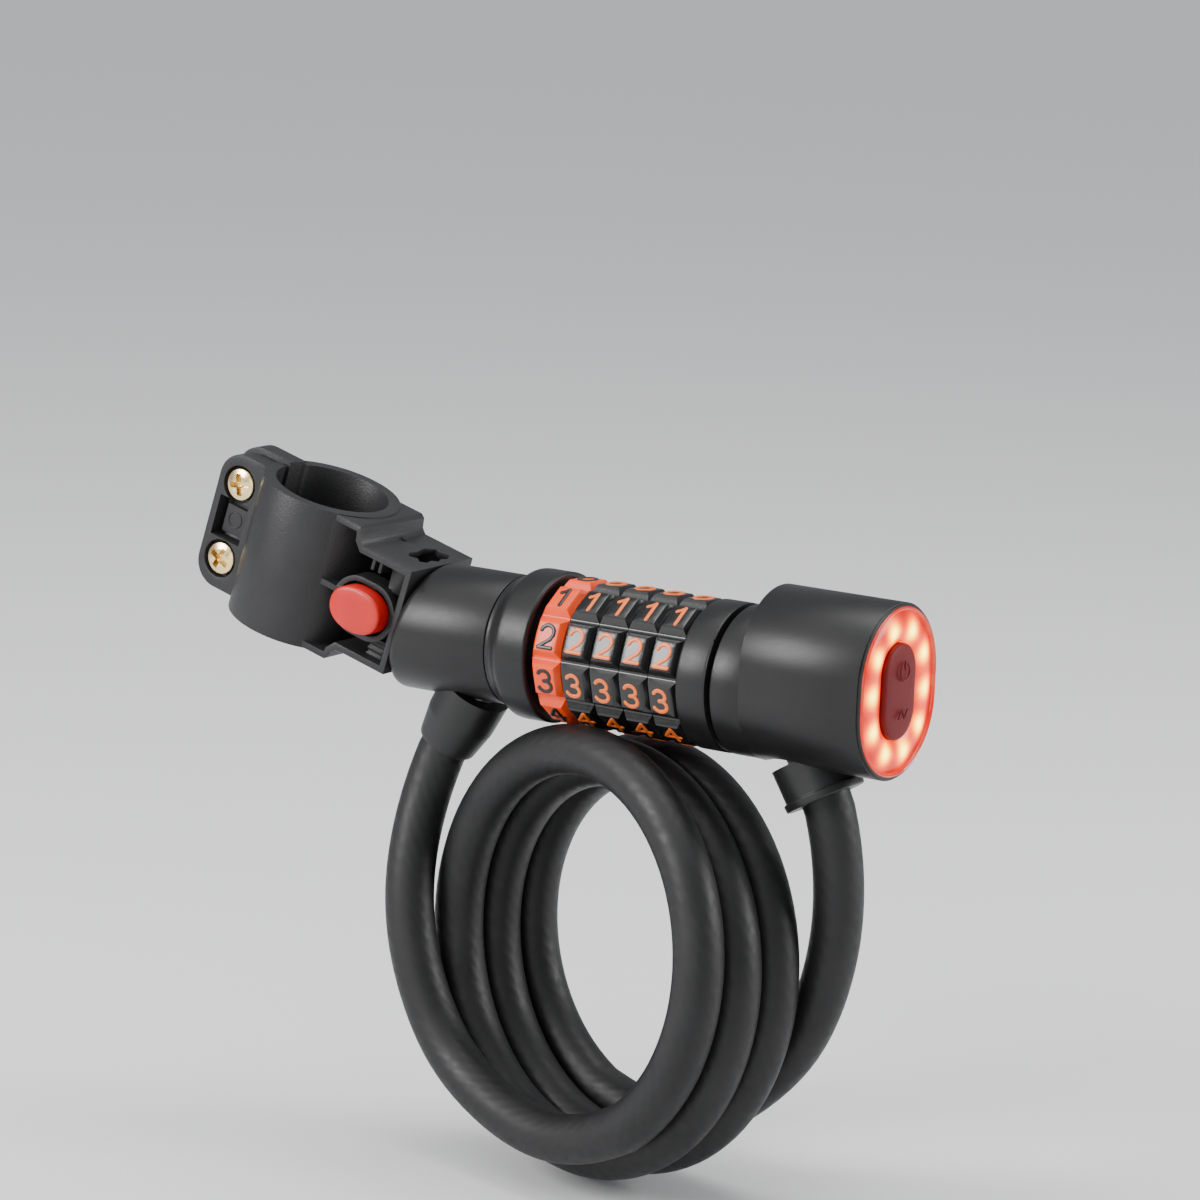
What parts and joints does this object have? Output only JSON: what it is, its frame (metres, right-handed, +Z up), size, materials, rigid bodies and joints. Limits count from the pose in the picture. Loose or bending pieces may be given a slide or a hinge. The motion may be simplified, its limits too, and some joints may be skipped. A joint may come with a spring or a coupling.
{
  "type": "bicycle cable lock",
  "caption": "Combination cable lock with a coiled covered cable and a built-in rear light, held on a seatpost by a quick-release clamp bracket.",
  "frame": {"origin": "on the seatpost axis at the middle of the clamp bore", "axes": "+X along the lock from the bracket to the light, +Z up as the lock hangs on the bicycle, -Y the side with the release button"},
  "size_m": [0.1994, 0.0748, 0.1601],
  "materials": {
    "bracket_plastic": "fine texture",
    "yellow_zinc": "bright yellow zinc",
    "zinc_steel": "zinc plated",
    "spring_steel": "drawn wire",
    "red_plastic": "satin",
    "black_plastic": "satin, fine grain",
    "spigot_metal": "turned",
    "core_steel": "ground",
    "collar_plastic": "satin",
    "cable_cover": "matte PVC",
    "orange_plastic": "satin",
    "dial_plastic": "semi-gloss",
    "code_brass": "turned",
    "lens": "clear red",
    "board": "solder mask",
    "led": "lit",
    "switch_plastic": "plain",
    "battery_wrap": "foil",
    "button_silicone": "matte silicone",
    "port_rubber": "matte silicone"
  },
  "bodies": {
    "bracket": {"clamp_bracket": "bracket_plastic", "clamp_screws": "yellow_zinc", "clamp_nuts": "zinc_steel", "retaining_clip": "spring_steel", "button_spring": "spring_steel"},
    "button": {"release_button": "red_plastic"},
    "lock_body": {"left_housing": "black_plastic", "mounting_spigot": "spigot_metal", "spigot_screw": "zinc_steel", "dial_collar": "black_plastic", "core_sleeve": "core_steel", "core_nut": "zinc_steel", "detent_balls": "core_steel", "detent_springs": "spring_steel", "right_end_ring": "black_plastic", "left_cable_collar": "collar_plastic", "left_ferrule": "zinc_steel", "cable_lead_left": "cable_cover", "cable_coil": "cable_cover", "cable_lead_right": "cable_cover"},
    "plug": {"plug_pin": "core_steel", "plug_holder": "black_plastic", "head_shell": "black_plastic", "right_cable_collar": "collar_plastic", "right_ferrule": "zinc_steel", "head_screws": "zinc_steel", "lens_ring": "lens", "led_board": "board", "leds": "led", "tact_switch": "switch_plastic", "battery": "battery_wrap", "driver_board": "board", "usb_socket": "zinc_steel"},
    "power_key": {"power_button": "button_silicone"},
    "port_flap": {"port_cover": "port_rubber"},
    "dial_1": {"dial_1": "orange_plastic", "code_ring_1": "code_brass"},
    "dial_2": {"dial_2": "dial_plastic", "code_ring_2": "code_brass"},
    "dial_3": {"dial_3": "dial_plastic", "code_ring_3": "code_brass"},
    "dial_4": {"dial_4": "dial_plastic", "code_ring_4": "code_brass"},
    "dial_5": {"dial_5": "dial_plastic", "code_ring_5": "code_brass"}
  },
  "joints": [
    {"name": "button_press", "type": "slide", "parent": "bracket", "child": "button", "axis": [0, 1, 0], "range_m": [0, 0.0025], "stiffness_N_per_m": 900, "springref_m": -0.001, "deforming": ["button_spring", "retaining_clip"]},
    {"name": "lock_release", "type": "slide", "parent": "bracket", "child": "lock_body", "axis": [0.9613, 0, -0.2756], "range_m": [0, 0.03], "deforming": ["retaining_clip"]},
    {"name": "plug_pull", "type": "slide", "parent": "lock_body", "child": "plug", "axis": [1, 0, 0], "range_m": [0, 0.05], "deforming": ["cable_lead_right"]},
    {"name": "power_press", "type": "slide", "parent": "plug", "child": "power_key", "axis": [-1, 0, 0], "range_m": [0, 0.0008], "stiffness_N_per_m": 1500, "springref_m": -0.0004},
    {"name": "port_cover_open", "type": "hinge", "parent": "plug", "child": "port_flap", "pos_m": [0.1414, 0.0173, -0.0095], "axis": [0, 0, 1], "range_deg": [0, 100]},
    {"name": "dial_1_turn", "type": "hinge", "parent": "lock_body", "child": "dial_1", "pos_m": [0.0803, 0, -0.0125], "axis": [1, 0, 0], "continuous": true},
    {"name": "dial_2_turn", "type": "hinge", "parent": "lock_body", "child": "dial_2", "pos_m": [0.0884, 0, -0.0125], "axis": [1, 0, 0], "continuous": true},
    {"name": "dial_3_turn", "type": "hinge", "parent": "lock_body", "child": "dial_3", "pos_m": [0.0965, 0, -0.0125], "axis": [1, 0, 0], "continuous": true},
    {"name": "dial_4_turn", "type": "hinge", "parent": "lock_body", "child": "dial_4", "pos_m": [0.1046, 0, -0.0125], "axis": [1, 0, 0], "continuous": true},
    {"name": "dial_5_turn", "type": "hinge", "parent": "lock_body", "child": "dial_5", "pos_m": [0.1127, 0, -0.0125], "axis": [1, 0, 0], "continuous": true}
  ]
}
